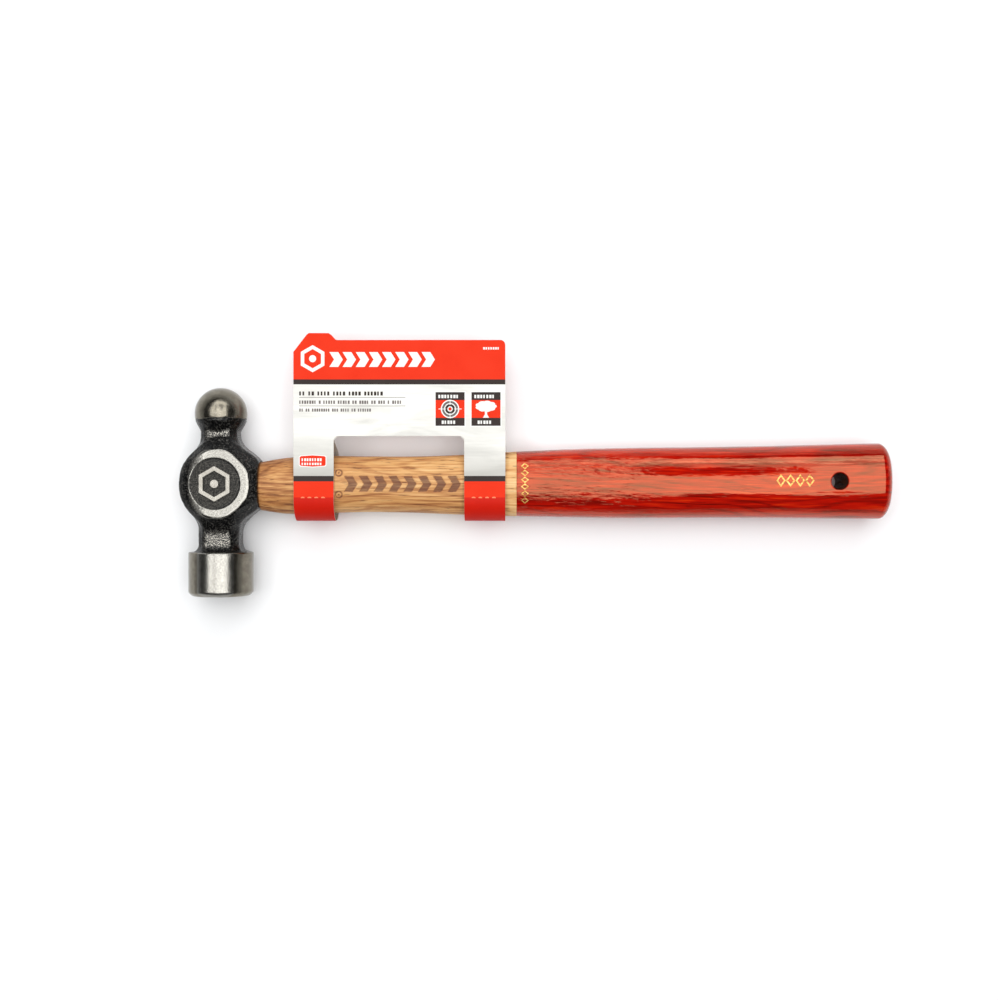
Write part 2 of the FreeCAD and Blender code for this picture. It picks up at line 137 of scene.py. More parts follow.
class Paint:
    """One material: a Principled shader, and short names for the nodes that feed it."""

    def __init__(self, name, **constants):
        self.material = bpy.data.materials.new(name)
        self.material.use_nodes = True
        self.tree = self.material.node_tree
        self.shader = self.tree.nodes["Principled BSDF"]
        self.place = self.tree.nodes.new("ShaderNodeTexCoord").outputs["Object"]
        for socket, value in constants.items():
            self.set(socket.replace("_", " "), value)

    def set(self, socket, value):
        self.feed(self.shader.inputs[socket], value)

    def feed(self, socket, value):
        """Links or sets an input. Three numbers are a colour as it looks on a screen."""
        if isinstance(value, bpy.types.NodeSocket):
            self.tree.links.new(value, socket)
        elif socket.type == "RGBA" and len(value) == 3:
            socket.default_value = screen(*value)
        else:
            socket.default_value = value

    def node(self, kind, inputs, settings=None, output=0):
        made = self.tree.nodes.new(kind)
        for name, value in (settings or {}).items():
            setattr(made, name, value)
        for key, value in inputs.items():
            self.feed(made.inputs[key], value)
        return made.outputs[output]

    def stretched(self, along, up=1.0, out=1.0, turn=0.0):
        """The place, squeezed so that a pattern comes out long and thin."""
        return self.node("ShaderNodeMapping", {"Vector": self.place, "Scale": (along, up, out),
                                               "Rotation": (0.0, 0.0, turn)})

    def noise(self, size, detail=3.0, vector=None, distortion=0.0):
        return self.node("ShaderNodeTexNoise", {
            "Vector": vector or self.place, "Scale": 1 / (size * MM), "Detail": detail,
            "Distortion": distortion})

    def level(self, value, low, high, bottom=0.0, top=1.0):
        return self.node("ShaderNodeMapRange", {
            "Value": value, "From Min": low, "From Max": high, "To Min": bottom, "To Max": top})

    def sum(self, kind, first, second=0.0):
        return self.node("ShaderNodeMath", {0: first, 1: second}, {"operation": kind})

    def add(self, first, second):
        return self.sum("ADD", first, second)

    def times(self, first, second):
        return self.sum("MULTIPLY", first, second)

    def mix(self, share, first, second):
        return self.node("ShaderNodeMixRGB", {"Fac": share, "Color1": first, "Color2": second})

    def ramp(self, value, stops):
        made = self.tree.nodes.new("ShaderNodeValToRGB")
        self.feed(made.inputs["Fac"], value)
        elements = made.color_ramp.elements
        while len(elements) < len(stops):
            elements.new(0.5)
        for element, (position, colour) in zip(elements, stops):
            element.position, element.color = position, screen(*colour)
        return made.outputs["Color"]

    def part(self, axis):
        """One coordinate of the place, in metres."""
        return self.node("ShaderNodeSeparateXYZ", {0: self.place}, output="XYZ".index(axis))

    def along(self, axis, start, end, bottom, top):
        """A level that changes between two places on an axis, in millimetres."""
        start, end = (ORIGIN["XYZ".index(axis)] + place * MM for place in (start, end))
        return self.level(self.part(axis), start, end, bottom, top)

    def points(self, name):
        return self.node("ShaderNodeAttribute", {}, {"attribute_name": name}, output=2)

    def finish(self, colour, roughness, height, depth, strength=1.0):
        """Sets what every material has: colour, roughness, and bumps of a depth in millimetres."""
        self.set("Base Color", colour)
        self.set("Roughness", roughness)
        self.set("Normal", self.node("ShaderNodeBump", {
            "Height": height, "Distance": depth * MM, "Strength": strength}))
        return self.material

    def spread(self, pattern, bottom, top):
        """The usual range of a noise, stretched to other limits."""
        return self.level(pattern, 0.3, 0.7, bottom, top)

    def scaled(self, share, at_none, at_all):
        """A share from 0 to 1, stretched to other limits."""
        return self.level(share, 0.0, 1.0, at_none, at_all)


def wood_grain(paint, lean, streak_tones, ring_tones, slow_tones):
    """Grain along the handle: how light the wood is, and its streaks, fibres and pores."""
    ring_spacing = 3.3
    slow = paint.noise(30.0, 2.0, paint.stretched(0.22))
    wander = paint.noise(4.0, 3.0, paint.stretched(0.12))
    ring = paint.node("ShaderNodeVectorMath", {
        0: paint.place, 1: (0.03, math.cos(lean), math.sin(lean))},
        {"operation": "DOT_PRODUCT"}, output=1)
    ring = paint.add(ring, paint.scaled(slow, -18.0 * MM, 18.0 * MM))
    ring = paint.add(ring, paint.scaled(wander, -1.1 * MM, 1.1 * MM))
    ring = paint.sum("SINE", paint.times(ring, 2 * math.pi / (ring_spacing * MM)))
    ring = paint.level(ring, 0.35, 1.0)
    streak = paint.noise(1.5, 5.0, paint.stretched(0.05), 0.3)
    fibre = paint.noise(0.5, 3.0, paint.stretched(0.04))
    pore = paint.level(paint.noise(0.75, 2.0, paint.stretched(0.11), 0.2), 0.60, 0.68)
    cluster = paint.level(paint.noise(3.2, 2.0, paint.stretched(0.09)), 0.48, 0.62)
    pore = paint.times(pore, paint.sum("MAXIMUM", cluster, ring))
    value = paint.add(paint.spread(streak, *streak_tones), paint.scaled(ring, *ring_tones))
    value = paint.add(value, paint.spread(fibre, 0.0, 0.30))
    value = paint.add(value, paint.spread(slow, *slow_tones))
    return value, streak, fibre, pore


def make_hickory(name, tones, lean=0.7):
    """Bare hickory, oiled: light and dark streaks, fine fibres and open pores."""
    paint = Paint(name, Specular_IOR_Level=0.35)
    value, streak, fibre, pore = wood_grain(paint, lean, (0.20, 0.58), (0.05, -0.12), (-0.16, 0.14))
    # The wood is browner where it was hewn near the head, and pale by the edge of the lacquer.
    value = paint.add(value, paint.along("X", 24.0, 62.0, -0.20, 0.0))
    value = paint.add(value, paint.along("X", 137.0, 141.0, 0.0, 0.24))
    dark, middle, light, pale, pit = tones
    colour = paint.ramp(value, [(0.06, dark), (0.34, middle), (0.60, light), (0.95, pale)])
    colour = paint.mix(paint.scaled(pore, 0.0, 0.8), colour, pit)
    burn = paint.points("burn")
    char = paint.noise(0.7, 3.0, paint.stretched(0.12))
    share = paint.times(paint.level(burn, 0.25, 0.8), paint.level(char, 0.2, 0.75, 1.0, 0.62))
    colour = paint.mix(share, colour, (98, 54, 34))
    glow = paint.times(paint.level(burn, 0.0, 0.25), paint.level(burn, 0.25, 0.6, 1.0, 0.0))
    colour = paint.mix(paint.scaled(glow, 0.0, 0.45), colour, (176, 112, 62))
    height = paint.sum("SUBTRACT", paint.level(fibre, 0.2, 0.8, 0.0, 0.5), pore)
    return paint.finish(colour, paint.spread(streak, 0.62, 0.46), height, 0.10, 0.8)


def make_lacquer(name):
    """Clear red lacquer over hickory, thin enough for the pores to print through its gloss."""
    paint = Paint(name, IOR=1.52, Specular_IOR_Level=1.0, Specular_Tint=(1.0, 0.56, 0.30, 1.0))
    value, _, _, pore = wood_grain(paint, 0.7, (0.04, 0.46), (0.08, -0.10), (-0.10, 0.16))
    colour = paint.ramp(value, [(0.04, (90, 2, 1)), (0.32, (140, 3, 1)),
                                (0.60, (182, 13, 2)), (0.95, (218, 58, 9))])
    colour = paint.mix(paint.scaled(pore, 0.0, 0.8), colour, (112, 2, 1))
    # Near the bare wood the lacquer is thin and follows the grain; further on it lies smooth.
    thin = paint.along("X", 190.0, 215.0, 1.0, 0.2)
    swell = paint.spread(paint.noise(1.7, 3.0, paint.stretched(0.35)), 0.0, 1.0)
    ripple = paint.add(swell, paint.times(pore, -0.6))
    roughness = paint.level(thin, 0.2, 1.0, 0.05, 0.08)
    return paint.finish(colour, roughness, paint.times(ripple, thin), 0.11)


def make_forged(name):
    """Black-painted forging, with steel ground bare where the points say so."""
    paint = Paint(name, Specular_IOR_Level=0.22)
    grain = paint.noise(0.8, 3.0)
    broad = paint.noise(2.4, 3.0)
    share = paint.points("bare")
    ragged = paint.add(share, paint.spread(grain, -0.12, 0.12))
    bare = paint.level(ragged, 0.46, 0.82)
    painted = paint.scaled(bare, 1.0, 0.0)
    # Turned lines run round the face and the ball.
    lines = paint.noise(0.16, 3.0, paint.stretched(0.06, 1.0, 0.06))
    blotch = paint.noise(2.8, 5.0)
    steel = paint.ramp(blotch, [(0.32, (106, 101, 90)), (0.52, (121, 116, 104)), (0.72, (134, 129, 117))])
    steel = paint.mix(paint.level(lines, 0.35, 0.7, 0.0, 0.30), steel, (92, 86, 76))
    speck = paint.noise(0.45, 3.0)
    steel = paint.mix(paint.level(speck, 0.5, 0.7, 0.0, 0.5), steel, (156, 151, 141))
    up = paint.sum("ABSOLUTE", paint.sum("SUBTRACT", paint.part("Z"), float(ORIGIN[2])))
    cheek = paint.level(up, (CHEEK - 1.3) * MM, (CHEEK - 1.0) * MM)
    blasted = paint.ramp(grain, [(0.3, (132, 130, 124)), (0.7, (152, 150, 144))])
    steel = paint.mix(cheek, steel, blasted)
    # Here and there the blasted steel glints through the paint. On the necks' flat top and bottom faces the
    # flecks are lighter and denser, a painted sheen for the overhead lamps' reflection there.
    neck_sheen = paint.points("neck_sheen")
    source = paint.mix(neck_sheen, grain, paint.noise(0.5, 2.0))
    glint = paint.level(paint.add(source, paint.scaled(neck_sheen, 0.0, 0.06)), 0.53, 0.64)
    patchy = paint.sum("MAXIMUM", paint.level(broad, 0.38, 0.62, 0.2, 0.85), neck_sheen)
    glint = paint.times(glint, patchy)
    # The lighter fleck colour is painted sheen on the necks' flat faces.
    fleck = paint.mix(neck_sheen, (100, 98, 93), (146, 143, 136))
    black = paint.mix(glint, (4, 4, 4), fleck)
    sand = paint.ramp(speck, [(0.36, (12, 12, 11)), (0.5, (44, 43, 40)), (0.66, (92, 89, 83))])
    sanded = paint.level(share, 0.12, 0.3)
    black = paint.mix(sanded, black, sand)
    shiny = paint.times(glint, paint.scaled(sanded, 1.0, 0.3))
    paint.set("Metallic", paint.sum("MAXIMUM", bare, shiny))
    dull = paint.add(paint.spread(broad, 0.16, 0.26), paint.scaled(sanded, 0.0, 0.4))
    ground = paint.spread(blotch, 0.15, 0.25)
    roughness = paint.add(paint.times(dull, painted), paint.times(ground, bare))
    pits = paint.times(paint.level(grain, 0.25, 0.75), painted)
    specks = paint.times(paint.spread(speck, 0.0, 1.0), paint.scaled(bare, 0.0, 0.16))
    return paint.finish(paint.mix(bare, black, steel), roughness, paint.add(pits, specks), 0.12)


def make_ground_steel(name, tone, roughness, stretch=(1.0, 1.0, 1.0)):
    """Bare steel with grinding marks and a slight film."""
    paint = Paint(name, Metallic=1.0)
    marks = paint.noise(0.22, 3.0, paint.stretched(*stretch))
    blotch = paint.noise(2.8, 4.0)
    colour = paint.mix(paint.spread(blotch, 0.0, 0.5), tone, (124, 119, 110))
    colour = paint.mix(paint.level(marks, 0.45, 0.75, 0.0, 0.35), colour, (98, 93, 85))
    return paint.finish(colour, paint.spread(blotch, roughness, roughness + 0.12), marks, 0.03, 0.7)


def make_ink(name, tone, shade):
    """Printed and varnished board: fine mottle, paper fibre and a thin gloss."""
    paint = Paint(name, Specular_IOR_Level=0.12)
    mottle = paint.noise(0.35, 3.0)
    cloud = paint.noise(14.0, 3.0)
    colour = paint.mix(paint.spread(mottle, 0.0, 0.30), tone, shade)
    colour = paint.mix(paint.level(cloud, 0.35, 0.7, 0.0, 0.30), colour, shade)
    return paint.finish(colour, paint.spread(cloud, 0.48, 0.56), paint.noise(0.5, 4.0), 0.012, 0.5)


def make_board(name):
    """White coated board with faint grey swooshes, greyer low on the two legs."""
    paint = Paint(name, Specular_IOR_Level=0.12)
    swoosh = paint.noise(16.0, 4.0, paint.stretched(0.28, 1.0, 1.0, 0.35), 1.2)
    brush = paint.noise(1.2, 3.0, paint.stretched(0.05))
    colour = paint.mix(paint.level(swoosh, 0.44, 0.64, 0.0, 0.75), (238, 237, 231), (206, 205, 199))
    colour = paint.mix(paint.level(brush, 0.5, 0.75, 0.0, 0.4), colour, (210, 209, 203))
    colour = paint.mix(paint.along("Y", 3.5, 20.0, 0.75, 0.0), colour, (172, 170, 163))
    return paint.finish(colour, paint.spread(swoosh, 0.48, 0.56), paint.noise(0.45, 4.0), 0.014, 0.5)


def make_foil(name):
    """Pale gold foil, pressed into the grain and rubbed."""
    paint = Paint(name, Metallic=0.7)
    rubbed = paint.noise(0.6, 4.0, paint.stretched(0.4))
    colour = paint.ramp(rubbed, [(0.36, (150, 96, 38)), (0.52, (216, 172, 92)), (0.75, (240, 206, 132))])
    return paint.finish(colour, paint.spread(rubbed, 0.52, 0.34), rubbed, 0.04, 0.8)


# wood tones: dark, middle, light, pale, and in the pores
hickory = make_hickory("hickory_oiled", (
    (120, 70, 36), (174, 116, 66), (210, 157, 97), (232, 194, 138), (90, 50, 26)))
wedge_wood = make_hickory("hardwood_wedge", (
    (112, 64, 34), (150, 96, 56), (176, 122, 76), (196, 146, 98), (84, 46, 26)), lean=-0.5)
# Near-black hickory for the wall of the hang hole: painted shade for the dark inside of the narrow hole.
hole_wall_painted_shade = make_hickory("hang_hole_wall_painted_shade", (
    (30, 14, 8), (44, 22, 12), (60, 30, 16), (78, 42, 24), (20, 10, 6)))
lacquer = make_lacquer("red_lacquer")
forged = make_forged("forged_steel")
bright = make_ground_steel("ground_steel", (150, 147, 140), 0.22)
wedge_steel = make_ground_steel("wedge_steel", (150, 146, 140), 0.34, (0.2, 1.0, 1.0))
board = make_board("white_board")
red_ink = make_ink("red_ink", (230, 50, 12), (214, 38, 8))
# A darker red for the wrap below the crease: painted shade where the band turns down round the handle.
red_ink_painted_shade = make_ink("red_ink_painted_shade", (204, 28, 8), (184, 18, 5))
white_ink = make_ink("white_ink", (238, 238, 234), (228, 228, 223))
dark_ink = make_ink("dark_ink", (56, 46, 43), (42, 36, 34))
grey_ink = make_ink("grey_ink", (112, 104, 102), (92, 86, 84))
slit_ink = make_ink("slit_edge", (255, 150, 110), (245, 110, 70))
foil = make_foil("gold_foil")


# ------------------------ head

BALL_Y, BALL_RADIUS = 34.3, 12.6
FACE_Y, FACE_RADIUS = -54.9, 15.6
COLLAR_X = 19.7
NECK_END = 31.0
EYE_PLACES, EYE_HIGH, EYE_THICK = (-20.0, -1.0, 20.5), (11.4, 10.2, 10.9), (8.3, 7.3, 7.9)
# how much of an oval's half thickness the arcs at its two ends take for their radius
OVAL_SHARE = 0.88


def smooth_max(first, second, width):
    share = np.clip(0.5 + 0.5 * (first - second) / width, 0, 1)
    return second + (first - second) * share + width * share * (1 - share)


def smooth_min(first, second, width):
    return -smooth_max(-first, -second, width)


def oval_sizes(high, thick):
    """Of an oval of four tangent arcs: both radii, and how far out the end arc's centre is."""
    end = thick * OVAL_SHARE
    reach = high - end
    side = (reach ** 2 + thick ** 2 - end ** 2) / (2 * (thick - end))
    return end, side, reach


def oval_distance(y, z, high, thick):
    end, side, reach = oval_sizes(high, thick)
    drop = side - thick
    past_end = reach * (z + drop) < drop * y
    return np.where(past_end, np.hypot(y - reach, z) - end, np.hypot(y, z + drop) - side)


def head_distance(x, y, z):
    """Roughly how far a point is outside the head, without the emblem."""
    y_out, z_out = np.abs(y), np.abs(z)
    # boss: a round plan with a sloping neck to the collar, bevelled towards the cheeks
    boss_x, boss_radius, bevel_high, cheek_x, cheek_radius = 2.4, 20.9, 4.0, -0.7, 16.5
    round_plan = smooth_max(np.hypot(x - boss_x, y) - boss_radius, 0.571 * x + 0.821 * y_out - 21.19, 2.0)
    plan = smooth_max(round_plan, x - COLLAR_X, 1.0)
    boss = smooth_max(plan, z_out - CHEEK, 0.4)
    bevel = smooth_max(round_plan, x - COLLAR_X - 1.2, 1.0)
    boss = smooth_max(boss, (bevel + z_out - CHEEK + bevel_high) / math.sqrt(2), 0.7)
    boss = smooth_max(boss, -0.304 * x + 0.953 * z_out - 16.53, 2.4)
    cheek_edge = np.hypot(x - cheek_x, y) - cheek_radius
    boss = smooth_max(boss, 0.5 * cheek_edge + 0.866 * (z_out - CHEEK), 0.5)
    boss = smooth_max(boss, 0.560 * x + 0.567 * y_out + 0.604 * z_out - 21.3, 0.9)
    # necks: square with wide chamfers, thicker towards the face
    half, flat = np.where(y > 0, 8.9, 9.9), np.where(y > 0, 5.7, 6.2)
    neck = smooth_max(np.abs(x) - half, z_out - half, 0.8)
    neck = smooth_max(neck, (np.abs(x) + z_out - half - flat) / math.sqrt(2), 1.2)
    neck = np.maximum(neck, y_out - NECK_END)
    # ball, the flare behind it, and the poll with its bevels and slightly crowned face
    poll_start, crown_y, radius = -33.0, 95.0, np.hypot(x, z)
    ball = np.sqrt(x ** 2 + (y - BALL_Y) ** 2 + z ** 2) - BALL_RADIUS
    flare = np.maximum((radius - 8.8 - (y - 26.4) * 0.808) * 0.778, y - 30.6)
    flare = np.maximum(flare, 24.0 - y)
    poll = smooth_max(radius - FACE_RADIUS, y - poll_start, 0.8)
    poll = smooth_max(poll, (radius - FACE_RADIUS - y - 52.5) * 0.66, 0.5)
    crown = np.sqrt(x ** 2 + (y - crown_y) ** 2 + z ** 2) + FACE_Y - crown_y
    poll = smooth_max(poll, crown, 0.5)
    neck = smooth_min(neck, flare, 2.0)
    neck = smooth_min(neck, ball, 0.7)
    neck = smooth_min(neck, poll, 4.4)
    head = smooth_min(boss, neck, 4.8)
    # eye, waisted in the middle
    high, thick = (np.interp(x, EYE_PLACES, sizes) for sizes in (EYE_HIGH, EYE_THICK))
    head = smooth_max(head, -oval_distance(y_out, z_out, high, thick), 0.7)
    pocket = smooth_max(np.hypot(x - POCKET_X, y) - POCKET_RADIUS, CHEEK - POCKET_DEPTH - z_out, 0.25)
    return smooth_max(head, -pocket, 0.3)


def slope_of(distance, points, step=0.02):
    """The direction in which a distance grows, at each point."""
    slopes = []
    for axis in range(3):
        shift = np.zeros(3)
        shift[axis] = step
        slopes.append((distance(*(points + shift).T) - distance(*(points - shift).T)) / (2 * step))
    return np.stack(slopes, axis=1)


def skin_of(distance, low, high, cell):
    """Points and faces of the surface where a distance is zero."""
    axes = [np.arange(start, end + cell, cell) for start, end in zip(low, high)]
    grid = np.meshgrid(*axes, indexing="ij", sparse=True)
    values = np.ascontiguousarray(distance(*grid), np.float32)
    far_off, pulls = 10.0, 4
    volume = openvdb.FloatGrid(far_off)
    volume.copyFromArray(values)
    points, faces = volume.convertToQuads(0.0)
    points = np.asarray(points, float) * cell + np.asarray(low, float)
    for _ in range(pulls):
        slopes = slope_of(distance, points)
        size = np.maximum((slopes ** 2).sum(axis=1), 0.2)
        points -= slopes * (distance(*points.T) / size)[:, None]
    return points, np.asarray(faces)[:, ::-1], slope_of(distance, points)


def bare_share(points):
    """Where the steel of the head is ground bare: ball, striking face and cheeks."""
    x, y, z = points.T
    edge = y + 0.4 * rough(points, 2.2, 5) - 0.02 * x
    ball = smooth_step(edge, 31.5, 31.8)
    face = smooth_step(-y + 0.25 * rough(points, 2.0, 6), 32.7, 33.0)
    # Towards the eye's far end the ground cheek fades back into the paint.
    faded = smooth_step(-x, 1.0, 8.0)
    flat = smooth_step(np.abs(z) + 0.05 * rough(points, 3.0, 7), CHEEK - 0.34 - 1.1 * faded,
                       CHEEK - 0.20 - 0.3 * faded)
    flat *= 1 - 0.42 * smooth_step(-x + 0.8 * rough(points, 3.0, 8), 2.5, 9.5)
    away = np.hypot(x - POCKET_X, y)
    ring = smooth_step(away, POCKET_RADIUS - 0.35, POCKET_RADIUS - 0.1)
    rim = 1 - smooth_step(np.abs(away - POCKET_RADIUS - 0.1), 0.15, 0.4)
    rim *= smooth_step(np.abs(z), CHEEK - 1.6, CHEEK - 1.2) * (x < 0)
    floor = 0.32 * (1 - smooth_step(away, POCKET_RADIUS - 0.7, POCKET_RADIUS - 0.4))
    floor *= smooth_step(np.abs(z), CHEEK - 1.5, CHEEK - 1.3)
    return np.maximum.reduce([ball, face, flat * ring, 0.9 * rim, floor])


def neck_sheen_share(points, normals):
    """Painted sheen on the necks' flat top and bottom faces, where they face the overhead lamps: a share
    for lighter, denser flecks.
    """
    y = points[:, 1]
    facing = smooth_step(np.abs(normals[:, 2]), 0.80, 0.90)
    ball_side = smooth_step(y, 19.8, 21.6) * (1 - smooth_step(y, 25.6, 27.2))
    face_side = smooth_step(-y, 21.0, 23.0) * (1 - smooth_step(-y, 29.6, 31.4))
    return facing * np.maximum(ball_side, face_side)


def make_head():
    low, high, cell = (-20.0, -56.5, -17.0), (21.0, 48.5, 17.0), 0.42
    points, faces, slopes = skin_of(head_distance, low, high, cell)
    normals = slopes / np.linalg.norm(slopes, axis=1, keepdims=True)
    bare = bare_share(points)
    # Scale and hammer marks are left in the forging, and only a trace of them where it is ground.
    relief = 0.12 * rough(points, 5.5, 1) + 0.07 * rough(points, 1.9, 2) + 0.06 * rough(points, 0.9, 3)
    relief = relief * (1 - bare) + 0.012 * rough(points, 4.0, 4) * bare - 0.04 * (1 - bare)
    points = points + normals * relief[:, None]
    head = make_piece("head_forging", points, faces, [forged])
    paint_points(head, "bare", bare)
    # Painted sheen: lighter flecks where the necks' flat faces catch the overhead lamps.
    paint_points(head, "neck_sheen", neck_sheen_share(points, normals))
    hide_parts("hammer_head")


def polygon(size, count=6):
    """The corners of a regular polygon, the first of them at the top."""
    angles = math.pi / 2 + np.arange(count) * 2 * math.pi / count
    return np.stack([np.cos(angles), np.sin(angles)], axis=1) * size


def ring_faces(rings, count):
    """Quads between rings that follow each other."""
    first, spot = np.meshgrid(np.arange(rings - 1) * count, np.arange(count), indexing="ij")
    after = (spot + 1) % count
    return np.stack([first + spot, first + after, first + count + after, first + count + spot],
                    axis=2).reshape(-1, 4)


def make_emblem(name, side):
    """A raised hexagon and dot on the floor of a cheek's pocket."""
    bottom, top, edge = CHEEK - POCKET_DEPTH - 0.3, CHEEK - 0.03, 0.16
    outer, inner, dot, round_count = 8.6, 6.2, 2.1, 40
    points, faces = [], []
    for count, rings in ((6, ((outer, bottom), (outer, top - edge), (outer - edge, top),
                              (inner + edge, top), (inner, top - edge), (inner, bottom))),
                         (round_count, ((dot, bottom), (dot, top - edge), (dot - edge, top)))):
        faces += [tuple(face) for face in ring_faces(len(rings), count) + len(points)]
        for size, high in rings:
            points += [(x + POCKET_X, y, high * side) for x, y in polygon(size, count)]
    faces.append(tuple(range(len(points) - round_count, len(points))))
    faces = [face[::side] for face in faces]
    make_piece(name, points, faces, [bright], smooth=False)


# ------------------------ handle

BUTT_X, BUTT_END = 320.1, 325.3
LACQUER_X = 144.0
HOLE_X, HOLE_Y, HOLE_RADIUS, HOLE_ROUND = 298.7, 1.3, 4.05, 0.55
depsgraph = bpy.context.evaluated_depsgraph_get()
handle_tree = BVHTree.FromObject(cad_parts["handle"], depsgraph)


def surface_at(x, y, z, direction):
    """Where a ray from outside meets the CAD handle, in millimetres."""
    hit = handle_tree.ray_cast(Vector(to_frame((x, y, z))), Vector(direction))[0]
    return (np.array(hit) - ORIGIN) / MM


def measure_handle():
    """Half height, half thickness and drift of the handle, every 2 mm along it."""
    places = [x for x in np.arange(COLLAR_X + 0.3, BUTT_X, 2.0) if abs(x - HOLE_X) > HOLE_RADIUS + 1]
    rows = []
    for x in places:
        top = surface_at(x, 40, 0, (0, -1, 0))[1]
        bottom = surface_at(x, -40, 0, (0, 1, 0))[1]
        drift = (top + bottom) / 2
        rows.append(((top - bottom) / 2, surface_at(x, drift, 40, (0, 0, -1))[2], drift))
    even = np.arange(COLLAR_X, BUTT_X + 1, 1.0)
    reach, width = 9, 3.0
    kernel = np.exp(-0.5 * (np.arange(-reach, reach + 1) / width) ** 2)
    smoothed = []
    for column in np.array(rows).T:
        samples = np.interp(even, places, column)
        padded = np.concatenate([2 * samples[0] - samples[reach:0:-1], samples,
                                 2 * samples[-1] - samples[-2:-2 - reach:-1]])
        smoothed.append(np.convolve(padded, kernel / kernel.sum(), "valid"))
    return even, smoothed


HANDLE_X, (HANDLE_HIGH, HANDLE_THICK, HANDLE_DRIFT) = measure_handle()


def handle_sizes(x):
    return [np.interp(x, HANDLE_X, column) for column in (HANDLE_HIGH, HANDLE_THICK, HANDLE_DRIFT)]


def oval_point(angle, high, thick):
    """The point of the oval whose outward direction has that angle, from +Y towards +Z."""
    end, side, reach = oval_sizes(high, thick)
    limit = np.arctan2(side - thick, reach)
    y_sign, z_sign = np.sign(np.cos(angle)), np.sign(np.sin(angle))
    sharp = np.arctan2(np.abs(np.sin(angle)), np.abs(np.cos(angle)))
    on_end = sharp < limit
    y = np.where(on_end, reach + end * np.cos(sharp), side * np.cos(sharp))
    z = np.where(on_end, end * np.sin(sharp), side * np.sin(sharp) - side + thick)
    return y * y_sign, z * z_sign


def even_angles(count):
    """Outward directions at equal steps round a middling section of the handle."""
    fine = np.linspace(0, 2 * math.pi, 4001)
    y, z = oval_point(fine, 15.5, 11.0)
    along = np.concatenate([[0], np.cumsum(np.hypot(np.diff(y), np.diff(z)))])
    return np.interp(np.linspace(0, along[-1], count, endpoint=False), along, fine)


def handle_rings(places, count):
    """Rings of points round the handle, as an array of shape (rings, count, 3)."""
    angles = even_angles(count)
    high, thick, drift = handle_sizes(places)
    y, z = oval_point(angles[None, :], high[:, None], thick[:, None])
    return np.stack([np.broadcast_to(places[:, None], y.shape), y + drift[:, None], z], axis=2)


def outward(points):
    """Which way is out of the handle, near enough to push its skin in or out."""
    high, thick, drift = handle_sizes(points[:, 0])
    y, z = (points[:, 1] - drift) / high ** 2, points[:, 2] / thick ** 2
    size = np.maximum(np.hypot(y, z), 1e-6)
    return np.stack([np.zeros(len(points)), y / size, z / size], axis=1)


def handle_grain(points):
    """Grooves along the grain, in millimetres: where the wood is lower."""
    long_grain = 0.042 * rough(points, (30.0, 1.5, 1.5), 11)
    fine_grain = 0.030 * rough(points, (11.0, 0.9, 0.9), 12)
    sanding = 0.07 * rough(points, (16.0, 7.0, 7.0), 13)
    return long_grain + fine_grain + sanding


MARK_LEFT, MARK_RIGHT, MARK_HALF, MARK_PITCH, MARK_WIDE, MARK_LEAN = 61.0, 117.6, 3.9, 7.1, 4.3, 0.62


def burn_share(points):
    """The burned decoration on top of the waist: a row of chevrons and two rosettes."""
    x, y, z = points.T
    run = x - MARK_LEFT - MARK_LEAN * (MARK_HALF - np.abs(y))
    edge = 0.18 * rough(points, 1.0, 21)
    inside = np.minimum(run % MARK_PITCH, MARK_WIDE - run % MARK_PITCH)
    inside = np.minimum.reduce([inside, MARK_HALF - np.abs(y), run + 0.2, MARK_RIGHT - x])
    share = smooth_step(inside + edge, -0.2, 0.35)
    for centre in (5.4, -5.2):
        away = np.hypot(x - 58.6, y - centre)
        ring = np.minimum(1.95 - away, away - 1.15)
        share = np.maximum(share, smooth_step(np.maximum(ring, 0.5 - away) + edge, -0.15, 0.3))
    return np.where(z > 0, share, 0)


def make_waist():
    """The bare wood of the handle, from the head to the lacquer."""
    count = 196
    places = np.arange(COLLAR_X, LACQUER_X + 0.7, 0.46)
    rings = handle_rings(places, count)
    points = rings.reshape(-1, 3)
    burn = burn_share(points)
    hewn = 1 - smooth_step(points[:, 0], COLLAR_X + 1, COLLAR_X + 16)
    relief = handle_grain(points) - 0.03 - 0.22 * burn
    relief += hewn * (0.16 * rough(points, (3.2, 1.6, 1.6), 14) - 0.08)
    points = points + outward(points) * relief[:, None]
    faces = [tuple(face) for face in ring_faces(len(places), count)]
    faces.append(tuple(range(count))[::-1])
    faces.append(tuple(range(len(points) - count, len(points))))
    waist = make_piece("handle_waist", points, [face[::-1] for face in faces], [hickory])
    paint_points(waist, "burn", burn)
    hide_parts("handle")


def taken_from(work):
    """The points and faces of a mesh being worked on, which is done with."""
    points = np.array([vertex.co for vertex in work.verts])
    faces = [[vertex.index for vertex in face.verts] for face in work.faces]
    work.free()
    return points, faces


def make_tenon():
    """The end of the handle in the eye, with its kerf and slots, as the CAD has it."""
    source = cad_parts["handle"].data
    work = bmesh.new()
    work.from_mesh(source)
    cut = Vector(to_frame((COLLAR_X + 0.05, 0, 0)))
    bmesh.ops.bisect_plane(work, geom=work.verts[:] + work.edges[:] + work.faces[:], plane_co=cut,
                           plane_no=(1, 0, 0), clear_outer=True)
    bmesh.ops.remove_doubles(work, verts=work.verts, dist=1e-6)
    bmesh.ops.holes_fill(work, edges=[edge for edge in work.edges if edge.is_boundary], sides=0)
    points, faces = taken_from(work)
    make_piece("handle_tenon", (points - ORIGIN) / MM, faces, [hickory], smooth=False)


